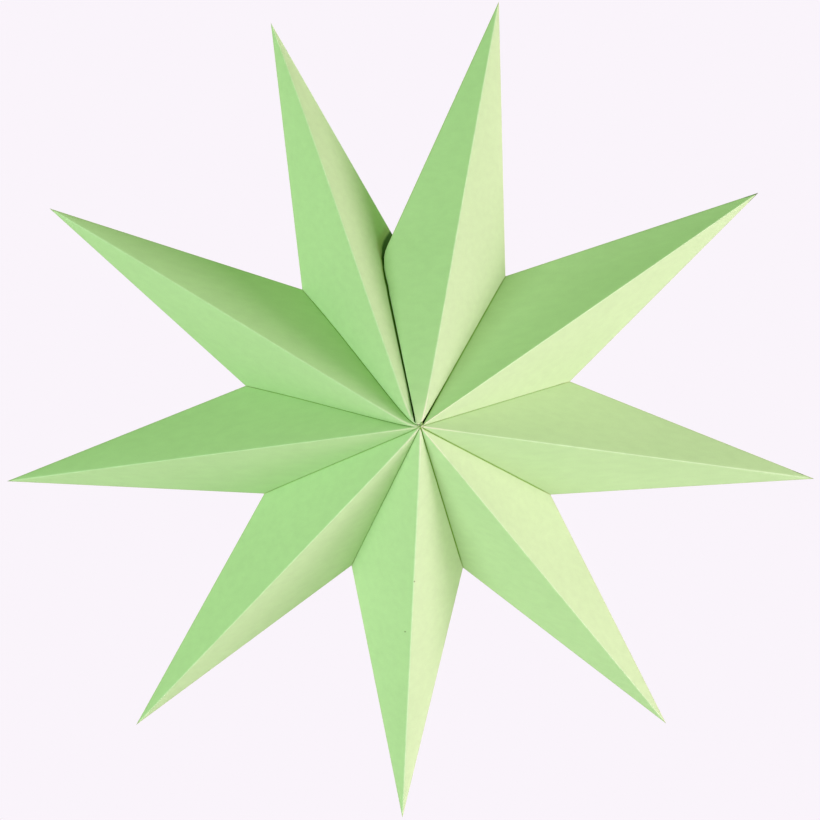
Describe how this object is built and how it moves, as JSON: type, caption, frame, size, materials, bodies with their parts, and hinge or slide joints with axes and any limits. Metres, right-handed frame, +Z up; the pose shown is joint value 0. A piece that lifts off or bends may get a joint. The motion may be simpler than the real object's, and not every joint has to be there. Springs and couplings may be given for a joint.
{
  "type": "paper star lantern",
  "caption": "Hollow folding paper star with long pointed rays, fanned open flat, glued along its valleys and closed with a lapped, taped seam.",
  "frame": {"origin": "on the star's axis, in its mid plane", "axes": "+Y along the star's axis, from its front peak to its back peak; +Z up, through the seam that it hangs from; +X right, seen from the front"},
  "size_m": [0.2942, 0.0794, 0.2984],
  "materials": {
    "card": "mint green card, matt, lightly fibrous",
    "tape": "white double-sided tape"
  },
  "bodies": {
    "root": {"point_1": "card", "point_2": "card", "point_3": "card", "point_4": "card", "point_5": "card", "point_6": "card", "point_7": "card", "point_8": "card", "point_9": "card", "seam_tape_front": "tape", "seam_tape_back": "tape"}
  },
  "joints": []
}
